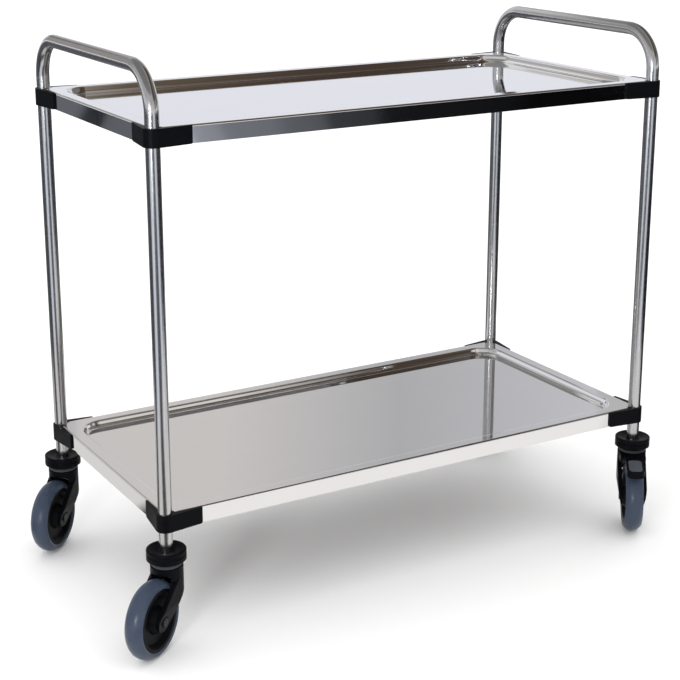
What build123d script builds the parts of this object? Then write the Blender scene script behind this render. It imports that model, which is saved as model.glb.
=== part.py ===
from build123d import *
from math import cos, radians, sin, sqrt, tan
import os

# Two-tier serving trolley: bent-tube end frames, drawn steel shelves, corner connectors and castors.
# Millimetres, +Z up. The origin is on the floor, midway between the four posts, and -Y is the front.

# Tube frame
tube_diameter = 22.0
tube_wall = 1.2
post_spacing_x = 940.0
post_spacing_y = 450.0
handle_bend_radius = 65.0
handle_run_above_rim = 19.0

# Shelves, drawn from one sheet each
upper_rim_height = 820.0
lower_rim_height = 220.0
sheet_thickness = 1.0
skirt_height = 28.0
skirt_beyond_posts = 3.0
rim_bend_radius = 3.0
recess_inside_posts = 20.0
recess_depth = 12.0
recess_corner_radius = 45.0
recess_wall_draft = 20.0
recess_lip_radius = 4.0
recess_floor_radius = 8.0
return_flange_width = 9.0
return_flange_setback = 70.0
sheet_gap = 0.3

# Sound-deadening mats under the shelf floors
mat_thickness = 3.0
mat_margin = 16.0
mat_corner_radius = 25.0

# Corner connectors
connector_height = 28.0
corner_reach = 16.8
corner_radius = 15.0
boss_wall = 4.0
arm_length = 61.0
arm_tip_thickness = 3.0
arm_tip_radius = 3.0
lug_reach = 26.0
lug_width = 12.0
lug_height = 12.0
bore_gap = 0.1

# Screws that hold the connectors to the skirts, and clamp screws that hold them to the posts
screw_diameter = 4.0
screw_head_diameter = 8.0
screw_head_height = 2.4
screw_grip = 3.0
screw_from_post = 42.0
screw_below_rim = 20.0
clamp_diameter = 6.0
clamp_socket_width = 3.0
clamp_socket_depth = 3.0
clamp_below_rim = 15.0
hole_gap = 0.1

# Wheels
wheel_diameter = 125.0
tyre_width = 32.0
tyre_thickness = 12.5
tyre_shoulder = 8.5
rim_flange_width = 29.0
rim_flange_depth = 6.0
web_width = 14.0
dish_slope_run = 6.0
hub_radius = 17.0
hub_width = 34.0
hub_relief_radius = 8.0
bearing_radius = 11.0
bearing_width = 7.0

# Axles
axle_diameter = 8.0
axle_head_width = 13.0
axle_head_height = 3.0
axle_nut_height = 4.0
axle_spacer_radius = 7.0
spacer_gap = 0.15
running_gap = 0.05

# Forks
castor_trail = 48.0
head_above_wheel = 10.0
head_diameter = 52.0
head_depth = 20.0
shoulder_radius = 16.0
shoulder_overhang = 2.0
shoulder_below_head = 21.0
fork_gap = 36.0
arch_gap = 5.0
axle_boss_radius = 17.0
axle_seat_wall = 3.0
axle_recess_gap = 1.5
leg_taper = 6.0
leg_edge_radius = 2.0
cavity_radius = 20.0
cavity_depth = 4.0

# Swivel bearings, stems and expanders
bearing_ring_height = 6.0
bearing_ring_wall = 6.0
bearing_ring_edge = 0.8
stem_diameter = 12.0
stem_flange_radius = 15.0
stem_rivet_radius = 10.0
stem_rivet_height = 4.0
expander_length = 42.0
expander_slot_width = 3.0
expander_slot_length = 30.0
expander_gap = 0.1

# Dust rings and bumper discs
dust_ring_radius = 24.5
dust_ring_height = 5.7
dust_lip_height = 2.0
dust_lip_wall = 2.0
dust_ring_edge = 1.2
swivel_gap = 0.3
bumper_radius = 31.5
bumper_height = 21.0
bumper_foot_height = 4.0
bumper_groove_radius = 2.0
bumper_groove_depth = 1.2
bumper_lip_width = 4.0
bumper_lip_radius = 1.8
bumper_dish_depth = 2.5
bumper_socket_floor = 8.0

# Brake pedals: a flat heel over the wheel and a tip that slopes down, with the pad on the slope
pivot_behind_head = 5.0
pivot_below_head = 6.0
pivot_ear_radius = 5.5
pivot_ear_inset = 3.0
pivot_pin_diameter = 4.0
pivot_pin_inset = 0.5
pedal_travel = 10.0
pedal_hub_radius = 4.0
pedal_rise = 8.0
pedal_heel_length = 26.0
pedal_tip_length = 44.0
pedal_tip_drop = 7.0
pedal_tip_thickness = 12.0
pedal_tip_foot = 22.0
pedal_width = 32.0
pedal_tip_radius = 9.0
pedal_side_gap = 0.6
shoe_length = 12.0
shoe_depth = 1.9
brake_gap = 0.4
pad_length = 38.0
pad_width = 24.0
pad_corner_radius = 7.0
pad_thickness = 1.6
pad_sunk = 1.0

# Corner signs and castor headings: the angle from +X to the side that the wheel trails on, and the brake
corners = {
    "front_left": (-1, -1),
    "front_right": (1, -1),
    "rear_right": (1, 1),
    "rear_left": (-1, 1),
}
corner_turns = {"front_left": 0, "front_right": 90, "rear_right": 180, "rear_left": 270}
castor_headings = {"front_left": 215, "front_right": 234, "rear_right": 225, "rear_left": 223}
braked_castors = ("front_right", "rear_right")

# Sizes that follow from those above
tube_radius = tube_diameter / 2
tube_bore_radius = tube_radius - tube_wall
handle_axis_height = upper_rim_height + handle_run_above_rim + handle_bend_radius
boss_radius = tube_radius + boss_wall
arm_tip = skirt_beyond_posts + arm_tip_thickness
shelf_length = post_spacing_x + 2 * skirt_beyond_posts
shelf_width = post_spacing_y + 2 * skirt_beyond_posts
recess_length = post_spacing_x - 2 * recess_inside_posts
recess_width = post_spacing_y - 2 * recess_inside_posts
recess_wall_run = recess_depth * tan(radians(recess_wall_draft))
screw_hole_radius = screw_diameter / 2 + hole_gap
wheel_radius = wheel_diameter / 2
tyre_seat_radius = wheel_radius - tyre_thickness
axle_height = wheel_radius
axle_radius = axle_diameter / 2
axle_recess_radius = axle_head_width / sqrt(3) + axle_recess_gap
bolt_seat = fork_gap / 2 + axle_seat_wall
head_radius = head_diameter / 2
head_top = wheel_diameter + head_above_wheel
shoulder_x = shoulder_radius - head_radius - shoulder_overhang
arch_radius = wheel_radius + arch_gap
cavity_floor = head_top - cavity_depth
stem_radius = stem_diameter / 2
rivet_foot = axle_height + sqrt(arch_radius**2 - (castor_trail - stem_rivet_radius) ** 2)
rivet_top = rivet_foot + stem_rivet_height
flange_foot = cavity_floor + bearing_ring_height + running_gap
bumper_foot = head_top + dust_ring_height + swivel_gap
bumper_top = bumper_foot + bumper_height
tube_end = bumper_foot + bumper_socket_floor
expander_top = tube_end + expander_length
pivot_x = head_radius + pivot_behind_head
pivot_z = head_top - pivot_below_head
pivot_ear_half = head_radius - pivot_ear_inset
pin_radius = pivot_pin_diameter / 2

os.makedirs("parts", exist_ok=True)


def write_node(piece, name):
    piece.label = name
    export_step(piece, f"parts/{name}.step")


# End frames: one tube bent into two posts and a push handle
for side, frame_x in (("left", -post_spacing_x / 2), ("right", post_spacing_x / 2)):
    with BuildPart() as end_frame:
        with BuildLine(Plane.YZ.offset(frame_x)):
            FilletPolyline(
                (-post_spacing_y / 2, tube_end),
                (-post_spacing_y / 2, handle_axis_height),
                (post_spacing_y / 2, handle_axis_height),
                (post_spacing_y / 2, tube_end),
                radius=handle_bend_radius,
            )
        with BuildSketch(Plane((frame_x, -post_spacing_y / 2, tube_end))):
            Circle(tube_radius)
            Circle(tube_bore_radius, mode=Mode.SUBTRACT)
        sweep()
    write_node(end_frame.part, f"{side}_end_frame")

# Shelves: sunk floor with round corners, flat rim, turned-down skirt with an inward return flange
for tier, rim in (("upper", upper_rim_height), ("lower", lower_rim_height)):
    with BuildPart() as shelf:
        with BuildSketch(Plane.XY.offset(rim)):
            Rectangle(shelf_length, shelf_width)
        extrude(amount=-skirt_height)
        with BuildSketch(Plane.XY.offset(rim)):
            RectangleRounded(recess_length, recess_width, recess_corner_radius)
        extrude(amount=recess_depth, dir=(0, 0, -1), taper=recess_wall_draft, mode=Mode.SUBTRACT)
        recess_floor = shelf.faces().filter_by(Axis.Z).sort_by(Axis.Z)[1]
        fillet(recess_floor.edges(), recess_floor_radius)
        rim_face = shelf.faces().filter_by(Axis.Z).sort_by(Axis.Z)[-1]
        fillet(rim_face.inner_wires()[0].edges(), recess_lip_radius)
        rim_face = shelf.faces().filter_by(Axis.Z).sort_by(Axis.Z)[-1]
        fillet(rim_face.outer_wire().edges(), rim_bend_radius)
        offset(amount=-sheet_thickness, openings=shelf.faces().sort_by(Axis.Z)[0])
        # Return flange along the foot of the skirt, open at the corners
        with BuildSketch(Plane.XY.offset(rim - skirt_height)):
            Rectangle(shelf_length, shelf_width)
            Rectangle(
                shelf_length - 2 * return_flange_width,
                shelf_width - 2 * return_flange_width,
                mode=Mode.SUBTRACT,
            )
            with GridLocations(shelf_length, shelf_width, 2, 2):
                Rectangle(2 * return_flange_setback, 2 * return_flange_setback, mode=Mode.SUBTRACT)
        extrude(amount=sheet_thickness)
        # Corners cut back for the posts, with the flat of the rim reaching the tube
        with BuildSketch(Plane.XY.offset(rim)):
            with GridLocations(post_spacing_x, post_spacing_y, 2, 2):
                Circle(tube_radius + sheet_gap)
                Rectangle(2 * (boss_radius + sheet_gap), 2 * (rim_bend_radius + sheet_gap))
                Rectangle(2 * (rim_bend_radius + sheet_gap), 2 * (boss_radius + sheet_gap))
        extrude(amount=-skirt_height, mode=Mode.SUBTRACT)
        with BuildSketch(Plane.XY.offset(rim - sheet_thickness)):
            with GridLocations(post_spacing_x, post_spacing_y, 2, 2):
                Circle(boss_radius + sheet_gap)
        extrude(amount=-skirt_height, mode=Mode.SUBTRACT)
        # Screw holes through the skirts, one behind each connector arm
        with BuildSketch(Plane.XZ):
            with Locations((0, rim - screw_below_rim)):
                with GridLocations(post_spacing_x - 2 * screw_from_post, 1, 2, 1):
                    Circle(screw_hole_radius)
        extrude(amount=shelf_width, both=True, mode=Mode.SUBTRACT)
        with BuildSketch(Plane.YZ):
            with Locations((0, rim - screw_below_rim)):
                with GridLocations(post_spacing_y - 2 * screw_from_post, 1, 2, 1):
                    Circle(screw_hole_radius)
        extrude(amount=shelf_length, both=True, mode=Mode.SUBTRACT)
    write_node(shelf.part, f"{tier}_shelf")

    with BuildPart() as sound_mat:
        with BuildSketch(Plane.XY.offset(rim - recess_depth - sheet_thickness)):
            RectangleRounded(
                recess_length - 2 * (recess_wall_run + mat_margin),
                recess_width - 2 * (recess_wall_run + mat_margin),
                mat_corner_radius,
            )
        extrude(amount=-mat_thickness)
    write_node(sound_mat.part, f"{tier}_sound_mat")

# Corner connector, drawn for the front left post with its top at z = 0: two arms that taper along the skirts
with BuildPart() as connector:
    with BuildSketch(Plane.XY.offset(-connector_height)) as arms:
        with BuildLine():
            Polyline(
                (-corner_reach, -corner_reach),
                (arm_length, -arm_tip),
                (arm_length, -skirt_beyond_posts),
                (-skirt_beyond_posts, -skirt_beyond_posts),
                (-skirt_beyond_posts, arm_length),
                (-arm_tip, arm_length),
                close=True,
            )
        make_face()
        fillet(arms.vertices().sort_by(Axis((0, 0, 0), (1, 1, 0)))[0], corner_radius)
    extrude(amount=connector_height)
    front_tip = connector.faces().sort_by(Axis.X)[-1].edges().sort_by(Axis.Z)[0]
    side_tip = connector.faces().sort_by(Axis.Y)[-1].edges().sort_by(Axis.Z)[0]
    fillet([front_tip, side_tip], arm_tip_radius)
    # Boss round the post, inside the corner of the arms
    with BuildSketch(Plane.XY.offset(-connector_height)):
        Circle(boss_radius)
        with Locations((-arm_tip, -arm_tip)):
            Rectangle(arm_length, arm_length, align=(Align.MIN, Align.MIN), mode=Mode.INTERSECT)
    extrude(amount=connector_height)
    # Clamp lug on the inner side of the boss
    with Locations(Location((0, 0, -clamp_below_rim), (0, 0, 45))):
        Box(lug_reach, lug_width, lug_height, align=(Align.MIN, Align.CENTER, Align.CENTER))
    Hole(tube_radius + bore_gap)
    # Step that the flat of the rim lies on
    with BuildSketch():
        with Locations((rim_bend_radius, rim_bend_radius)):
            Rectangle(boss_radius, boss_radius, align=(Align.MIN, Align.MIN))
    extrude(amount=-sheet_thickness, mode=Mode.SUBTRACT)
    # Blind holes for the arm screws
    with BuildSketch(Plane.XZ.offset(skirt_beyond_posts)):
        with Locations((screw_from_post, -screw_below_rim)):
            Circle(screw_hole_radius)
    extrude(amount=screw_grip, mode=Mode.SUBTRACT)
    with BuildSketch(Plane.YZ.offset(-skirt_beyond_posts)):
        with Locations((screw_from_post, -screw_below_rim)):
            Circle(screw_hole_radius)
    extrude(amount=-screw_grip, mode=Mode.SUBTRACT)
    # Clamp screw hole through the lug
    with BuildSketch(Plane((0, 0, -clamp_below_rim), z_dir=(1, 1, 0))):
        Circle(clamp_diameter / 2 + hole_gap)
    extrude(amount=lug_reach, mode=Mode.SUBTRACT)

# Pan-head screw along +Z, its head's bearing face at z = 0
with BuildPart() as arm_screw:
    with BuildSketch(Plane.XZ):
        with BuildLine():
            Polyline(
                (0, -screw_head_height),
                (screw_head_diameter / 4, -screw_head_height),
                (screw_head_diameter / 2, -screw_head_height / 3),
                (screw_head_diameter / 2, 0),
                (screw_diameter / 2, 0),
                (screw_diameter / 2, sheet_thickness + screw_grip - hole_gap),
                (0, sheet_thickness + screw_grip - hole_gap),
                close=True,
            )
        make_face()
    revolve(axis=Axis.Z)

# Headless clamp screw along +X from the tube's surface, with a hexagon socket
with BuildPart() as clamp_screw:
    with BuildSketch(Plane.YZ.offset(tube_radius + bore_gap / 2)):
        Circle(clamp_diameter / 2)
    extrude(amount=lug_reach - tube_radius)
    with BuildSketch(Plane.YZ.offset(lug_reach + bore_gap / 2)):
        RegularPolygon(clamp_socket_width / 2, 6, major_radius=False)
    extrude(amount=-clamp_socket_depth, mode=Mode.SUBTRACT)

arm_screw_places = []
clamp_screw_places = []
skirt_inner = skirt_beyond_posts - sheet_thickness
for tier, rim in (("upper", upper_rim_height), ("lower", lower_rim_height)):
    for corner, (sign_x, sign_y) in corners.items():
        post = Vector(sign_x * post_spacing_x / 2, sign_y * post_spacing_y / 2, rim)
        turn = corner_turns[corner]
        write_node(
            connector.part.moved(Location(post, (0, 0, turn))), f"{tier}_{corner}_connector"
        )
        along_x = Vector(-sign_x * screw_from_post, sign_y * skirt_inner, -screw_below_rim)
        along_y = Vector(sign_x * skirt_inner, -sign_y * screw_from_post, -screw_below_rim)
        arm_screw_places.append(Plane(post + along_x, z_dir=(0, sign_y, 0)).location)
        arm_screw_places.append(Plane(post + along_y, z_dir=(sign_x, 0, 0)).location)
        clamp_screw_places.append(Location(post - Vector(0, 0, clamp_below_rim), (0, 0, 45 + turn)))

with BuildPart() as connector_screws:
    with Locations(arm_screw_places):
        add(arm_screw.part)
write_node(connector_screws.part, "connector_screws")

with BuildPart() as clamp_screws:
    with Locations(clamp_screw_places):
        add(clamp_screw.part)
write_node(clamp_screws.part, "post_clamp_screws")

# Castor pieces, drawn with the swivel axis on Z and the wheel trailing along +X
axle_axis = Axis((castor_trail, 0, axle_height), (0, 1, 0))
axle_section = Plane((castor_trail, 0, axle_height), x_dir=(0, 1, 0), z_dir=(1, 0, 0))

# Bumper disc: shallow dish with a rounded lip, and a socket for the foot of the post
with BuildPart() as bumper_disc:
    with BuildSketch(Plane.XZ) as bumper_section:
        with BuildLine():
            Polyline(
                (stem_radius + hole_gap, bumper_foot),
                (dust_ring_radius, bumper_foot),
                (bumper_radius, bumper_foot + bumper_foot_height),
                (bumper_radius, bumper_top),
                (bumper_radius - bumper_lip_width, bumper_top),
                (boss_radius, bumper_top - bumper_dish_depth),
                (tube_radius + bore_gap, bumper_top - bumper_dish_depth),
                (tube_radius + bore_gap, tube_end),
                (stem_radius + hole_gap, tube_end),
                close=True,
            )
        make_face()
        lip_corners = bumper_section.vertices().group_by(Axis.Y)[-1]
        fillet(lip_corners, bumper_lip_radius)
        # Groove round the middle of the outer wall
        groove_x = bumper_radius - bumper_groove_depth + bumper_groove_radius
        with Locations((groove_x, (bumper_foot + bumper_foot_height + bumper_top) / 2)):
            Circle(bumper_groove_radius, mode=Mode.SUBTRACT)
    revolve(axis=Axis.Z)

# Stem: kingpin riveted under the fork head, with the flange that carries the bumper disc
with BuildPart() as stem:
    with BuildSketch(Plane.XZ):
        with BuildLine():
            Polyline(
                (0, rivet_foot),
                (stem_rivet_radius, rivet_foot),
                (stem_rivet_radius, rivet_top - swivel_gap),
                (stem_radius, rivet_top - swivel_gap),
                (stem_radius, flange_foot),
                (stem_flange_radius, flange_foot),
                (stem_flange_radius, bumper_foot),
                (stem_radius, bumper_foot),
                (stem_radius, expander_top),
                (0, expander_top),
                close=True,
            )
        make_face()
    revolve(axis=Axis.Z)

# Slotted expander that grips the stem in the tube
with BuildPart() as expander:
    with BuildSketch(Plane.XY.offset(tube_end)):
        Circle(tube_bore_radius - expander_gap)
        Circle(stem_radius + hole_gap, mode=Mode.SUBTRACT)
    extrude(amount=expander_length)
    with BuildSketch(Plane.XY.offset(expander_top)):
        Rectangle(tube_diameter, expander_slot_width)
        Rectangle(expander_slot_width, tube_diameter)
    extrude(amount=-expander_slot_length, mode=Mode.SUBTRACT)

# Dust ring round the bearing, with a lip that seats in the fork head
with BuildPart() as dust_ring:
    with BuildSketch(Plane.XZ) as dust_section:
        with BuildLine():
            Polyline(
                (stem_flange_radius + swivel_gap, head_top),
                (cavity_radius - dust_lip_wall, head_top),
                (cavity_radius - dust_lip_wall, head_top - dust_lip_height),
                (cavity_radius - hole_gap, head_top - dust_lip_height),
                (cavity_radius - hole_gap, head_top),
                (dust_ring_radius, head_top),
                (dust_ring_radius, head_top + dust_ring_height),
                (stem_flange_radius + swivel_gap, head_top + dust_ring_height),
                close=True,
            )
        make_face()
        chamfer(dust_section.vertices().group_by(Axis.X)[-1], dust_ring_edge)
    revolve(axis=Axis.Z)

# Thrust ring that the stem's flange turns on
with BuildPart() as swivel_bearing:
    with BuildSketch(Plane.XY.offset(cavity_floor)):
        Circle(stem_flange_radius)
        Circle(stem_flange_radius - bearing_ring_wall, mode=Mode.SUBTRACT)
    extrude(amount=bearing_ring_height)
    chamfer(swivel_bearing.edges().filter_by(GeomType.CIRCLE), bearing_ring_edge)

# Forks: round head with the bearing cavity, two broad legs arched over the wheel and tapered at the axle
taper_top = axle_height + axle_boss_radius
taper_foot = axle_height - axle_boss_radius
forks = {}
for braked in (False, True):
    with BuildPart() as fork:
        with BuildSketch(Plane.XZ):
            with Locations((shoulder_x, head_top - shoulder_below_head)):
                Circle(shoulder_radius)
            with Locations((castor_trail, axle_height)):
                Circle(axle_boss_radius)
            make_hull()
        extrude(amount=head_radius, both=True)
        with BuildSketch():
            Circle(head_radius)
            Rectangle(
                castor_trail + wheel_diameter, head_diameter, align=(Align.MIN, Align.CENTER)
            )
        extrude(amount=head_top, mode=Mode.INTERSECT)
        outline = fork.edges().filter_by(Axis.Y, reverse=True).filter_by(Axis.Z, reverse=True)
        fillet(outline, leg_edge_radius)
        with BuildSketch(Plane.YZ):
            with BuildLine():
                Polyline(
                    (0, taper_foot),
                    (head_radius - leg_taper, taper_foot),
                    (head_radius, taper_top),
                    (head_radius, head_top),
                    (0, head_top),
                    close=True,
                )
            make_face()
            mirror(about=Plane.YZ)
        extrude(amount=wheel_diameter, both=True, mode=Mode.INTERSECT)
        with BuildSketch(Plane.XY.offset(head_top)):
            Circle(head_radius)
        extrude(amount=-head_depth)
        if braked:
            # Ears that carry the pedal's pivot pin
            with BuildSketch(Plane.XZ):
                with Locations((0, pivot_z), (pivot_x, pivot_z)):
                    Circle(pivot_ear_radius)
                make_hull()
            extrude(amount=pivot_ear_half, both=True)
        # Wheel arch between the legs
        with BuildSketch(Plane.XZ):
            with Locations((castor_trail, axle_height)):
                Circle(arch_radius)
        extrude(amount=fork_gap / 2, both=True, mode=Mode.SUBTRACT)
        # Bearing cavity, kingpin bore and room for the rivet
        with BuildSketch(Plane.XY.offset(head_top)):
            Circle(cavity_radius)
        extrude(amount=-cavity_depth, mode=Mode.SUBTRACT)
        with BuildSketch(Plane.XY.offset(head_top)):
            Circle(stem_radius + running_gap)
        extrude(amount=-head_top, mode=Mode.SUBTRACT)
        with BuildSketch(Plane.XY.offset(rivet_top)):
            Circle(stem_rivet_radius + swivel_gap)
        extrude(amount=-rivet_top, mode=Mode.SUBTRACT)
        # Axle holes with recesses for the bolt head and the nut
        with BuildSketch(Plane.XZ):
            with Locations((castor_trail, axle_height)):
                Circle(axle_radius + hole_gap)
        extrude(amount=head_diameter, both=True, mode=Mode.SUBTRACT)
        for seat, outward in ((bolt_seat, head_radius), (-bolt_seat, -head_radius)):
            with BuildSketch(Plane.XZ.offset(seat)):
                with Locations((castor_trail, axle_height)):
                    Circle(axle_recess_radius)
            extrude(amount=outward, mode=Mode.SUBTRACT)
        if braked:
            # Slot for the pedal and holes for its pivot pin
            slot_start = pivot_x - pedal_hub_radius - pedal_side_gap
            with BuildSketch(Plane.XY.offset(head_top)):
                with Locations((slot_start, 0)):
                    Rectangle(
                        castor_trail,
                        pedal_width + 2 * pedal_side_gap,
                        align=(Align.MIN, Align.CENTER),
                    )
            extrude(amount=-head_depth, mode=Mode.SUBTRACT)
            with BuildSketch(Plane.XZ):
                with Locations((pivot_x, pivot_z)):
                    Circle(pin_radius + hole_gap)
            extrude(amount=head_diameter, both=True, mode=Mode.SUBTRACT)
    forks[braked] = fork.part

# Axle: bolt, nut and the two spacers that centre the hub
spacer_length = (fork_gap - hub_width) / 2 - spacer_gap
with BuildPart() as axle:
    with BuildSketch(Plane((castor_trail, -bolt_seat, axle_height), z_dir=(0, 1, 0))):
        Circle(axle_radius)
    extrude(amount=2 * bolt_seat + axle_nut_height)
    with BuildSketch(Plane((castor_trail, -bolt_seat, axle_height), z_dir=(0, -1, 0))):
        RegularPolygon(axle_head_width / 2, 6, major_radius=False)
    extrude(amount=axle_head_height)
    with BuildSketch(Plane((castor_trail, bolt_seat, axle_height), z_dir=(0, 1, 0))):
        RegularPolygon(axle_head_width / 2, 6, major_radius=False)
        Circle(axle_radius + running_gap, mode=Mode.SUBTRACT)
    extrude(amount=axle_nut_height)
    for inner_face in (-fork_gap / 2, fork_gap / 2 - spacer_length):
        with BuildSketch(Plane((castor_trail, inner_face, axle_height), z_dir=(0, 1, 0))):
            Circle(axle_spacer_radius)
            Circle(axle_radius + running_gap, mode=Mode.SUBTRACT)
        extrude(amount=spacer_length)

# Wheel centre: flange, dished web and hub with a seat for a bearing at each end
with BuildPart() as wheel_centre:
    with BuildSketch(axle_section):
        with BuildLine():
            dish_radius = tyre_seat_radius - rim_flange_depth
            Polyline(
                (0, hub_relief_radius),
                (hub_width / 2 - bearing_width, hub_relief_radius),
                (hub_width / 2 - bearing_width, bearing_radius),
                (hub_width / 2, bearing_radius),
                (hub_width / 2, hub_radius),
                (web_width / 2, hub_radius + dish_slope_run),
                (web_width / 2, dish_radius - dish_slope_run),
                (rim_flange_width / 2, dish_radius),
                (rim_flange_width / 2, tyre_seat_radius),
                (0, tyre_seat_radius),
                close=True,
            )
        make_face()
        mirror(about=Plane.YZ)
    revolve(axis=axle_axis)

with BuildPart() as wheel_bearings:
    for bearing_start in (-hub_width / 2, hub_width / 2 - bearing_width):
        with BuildSketch(Plane((castor_trail, bearing_start, axle_height), z_dir=(0, 1, 0))):
            Circle(bearing_radius)
            Circle(axle_radius + running_gap, mode=Mode.SUBTRACT)
        extrude(amount=bearing_width)

# Tyre with a crowned tread
with BuildPart() as tyre:
    with BuildSketch(axle_section):
        with BuildLine():
            shoulder_level = wheel_radius - tyre_shoulder
            Polyline(
                (-tyre_width / 2, shoulder_level),
                (-rim_flange_width / 2, tyre_seat_radius),
                (rim_flange_width / 2, tyre_seat_radius),
                (tyre_width / 2, shoulder_level),
            )
            ThreePointArc(
                (tyre_width / 2, shoulder_level),
                (0, wheel_radius),
                (-tyre_width / 2, shoulder_level),
            )
        make_face()
    revolve(axis=axle_axis)

# Brake pedal: its shoe meets the top of the tyre as seen from the pedal when that is pressed all the way
travel = radians(pedal_travel)
reach_x = castor_trail - pivot_x
reach_z = axle_height - pivot_z
shoe_x = pivot_x + reach_x * cos(travel) - reach_z * sin(travel)
shoe_z = pivot_z + reach_x * sin(travel) + reach_z * cos(travel) + wheel_radius + brake_gap
pedal_top = pivot_z + pedal_rise
pedal_underside = shoe_z + shoe_depth
crest_x = pivot_x + pedal_heel_length
pedal_tip = crest_x + pedal_tip_length
tip_top = pedal_top - pedal_tip_drop
with BuildPart() as brake_pedal:
    with BuildSketch(Plane.XZ):
        with BuildLine():
            Polyline(
                (pivot_x, pedal_underside),
                (pivot_x, pedal_top),
                (crest_x, pedal_top),
                (pedal_tip, tip_top),
                (pedal_tip, tip_top - pedal_tip_thickness),
                (pedal_tip - pedal_tip_foot, pedal_underside),
                close=True,
            )
        make_face()
        with Locations((shoe_x, shoe_z)):
            Rectangle(shoe_length, 2 * shoe_depth, align=(Align.CENTER, Align.MIN))
        with Locations((pivot_x, pivot_z)):
            Circle(pedal_hub_radius)
            Circle(pin_radius + running_gap, mode=Mode.SUBTRACT)
    extrude(amount=pedal_width / 2, both=True)
    tip_edges = brake_pedal.faces().sort_by(Axis.X)[-1].edges().filter_by(Axis.Z)
    fillet(tip_edges, pedal_tip_radius)
    # Sunk seat for the pad, in the middle of the slope
    pad_middle = ((crest_x + pedal_tip) / 2, 0, (pedal_top + tip_top) / 2)
    slope = Plane(
        pad_middle,
        x_dir=(pedal_tip_length, 0, -pedal_tip_drop),
        z_dir=(pedal_tip_drop, 0, pedal_tip_length),
    )
    with BuildSketch(slope):
        RectangleRounded(pad_length, pad_width, pad_corner_radius)
    extrude(amount=-pad_sunk, mode=Mode.SUBTRACT)

with BuildPart() as pedal_pad:
    with BuildSketch(slope.offset(-pad_sunk)):
        RectangleRounded(
            pad_length - 2 * hole_gap, pad_width - 2 * hole_gap, pad_corner_radius - hole_gap
        )
    extrude(amount=pad_thickness)

with BuildPart() as pedal_pin:
    with BuildSketch(Plane.XZ):
        with Locations((pivot_x, pivot_z)):
            Circle(pin_radius)
    extrude(amount=pivot_ear_half - pivot_pin_inset, both=True)

# Castors, each turned to its heading under its post
castor_pieces = {
    "bumper_disc": bumper_disc,
    "castor_stem": stem,
    "dust_ring": dust_ring,
    "swivel_bearing": swivel_bearing,
    "axle": axle,
    "wheel_centre": wheel_centre,
    "wheel_bearings": wheel_bearings,
    "tyre": tyre,
}
brake_pieces = {"brake_pedal": brake_pedal, "pedal_pad": pedal_pad, "pedal_pin": pedal_pin}
expander_places = []
for corner, (sign_x, sign_y) in corners.items():
    post_foot = (sign_x * post_spacing_x / 2, sign_y * post_spacing_y / 2, 0)
    place = Location(post_foot, (0, 0, castor_headings[corner]))
    expander_places.append(place)
    braked = corner in braked_castors
    write_node(forks[braked].moved(place), f"{corner}_fork")
    pieces = castor_pieces | brake_pieces if braked else castor_pieces
    for piece_name, piece in pieces.items():
        write_node(piece.part.moved(place), f"{corner}_{piece_name}")

with BuildPart() as stem_expanders:
    with Locations(expander_places):
        add(expander.part)
write_node(stem_expanders.part, "stem_expanders")
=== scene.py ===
import math

import bpy
from bpy.props import FloatProperty, FloatVectorProperty, IntProperty, PointerProperty
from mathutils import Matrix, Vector


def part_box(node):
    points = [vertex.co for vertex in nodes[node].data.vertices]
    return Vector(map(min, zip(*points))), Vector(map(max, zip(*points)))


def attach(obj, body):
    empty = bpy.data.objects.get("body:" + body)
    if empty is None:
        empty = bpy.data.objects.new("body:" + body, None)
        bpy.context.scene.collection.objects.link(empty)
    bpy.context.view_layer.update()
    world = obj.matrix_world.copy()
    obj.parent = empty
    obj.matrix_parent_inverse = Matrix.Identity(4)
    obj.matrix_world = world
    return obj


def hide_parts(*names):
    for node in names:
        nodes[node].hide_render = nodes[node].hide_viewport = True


bl_info = {
    "name": "Serving trolley looks",
    "version": (1, 0, 0),
    "blender": (4, 5, 0),
    "location": "3D View > Sidebar > Trolley",
    "description": "Finishes and studio for a two-tier serving trolley",
    "category": "Object",
}

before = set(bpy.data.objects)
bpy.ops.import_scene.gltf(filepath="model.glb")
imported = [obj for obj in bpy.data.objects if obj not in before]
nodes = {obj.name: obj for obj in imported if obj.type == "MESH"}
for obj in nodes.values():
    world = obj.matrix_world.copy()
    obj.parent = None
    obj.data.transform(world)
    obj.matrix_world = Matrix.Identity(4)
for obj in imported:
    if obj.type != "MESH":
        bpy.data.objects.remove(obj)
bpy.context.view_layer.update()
corners = ("front_left", "front_right", "rear_right", "rear_left")
braked = ("front_right", "rear_right")
tiers = ("upper", "lower")
tube_low, tube_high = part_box("left_end_frame")


def colour_setting(name, description, default):
    return FloatVectorProperty(
        name=name, description=description, default=default, size=3, subtype="COLOR", min=0.0, max=1.0
    )


def length_setting(name, description, default):
    return FloatProperty(
        name=name, description=description, default=default, unit="LENGTH", precision=5
    )


def share_setting(name, description, default):
    return FloatProperty(
        name=name, description=description, default=default, min=0.0, max=1.0, subtype="FACTOR"
    )


class TrolleyTubes(bpy.types.PropertyGroup):
    """Sizes and finish of the two bent end frames."""

    diameter: length_setting("Diameter", "Outside diameter of the tube", tube_high.x - tube_low.x)
    wall: length_setting("Wall", "Thickness of the tube's wall", 0.0012)
    bend_radius: length_setting("Bend radius", "Radius of the handle's bends, at the tube's axis", 0.065)
    sides: IntProperty(name="Sides", description="Faces round the tube", default=64, min=12, max=128)
    bend_steps: IntProperty(
        name="Bend steps", description="Faces along each bend", default=32, min=6, max=64
    )
    colour: colour_setting("Colour", "Colour of the polished tube", (0.52, 0.52, 0.53))
    roughness: share_setting("Roughness", "How satin the tube is", 0.20)


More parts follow.
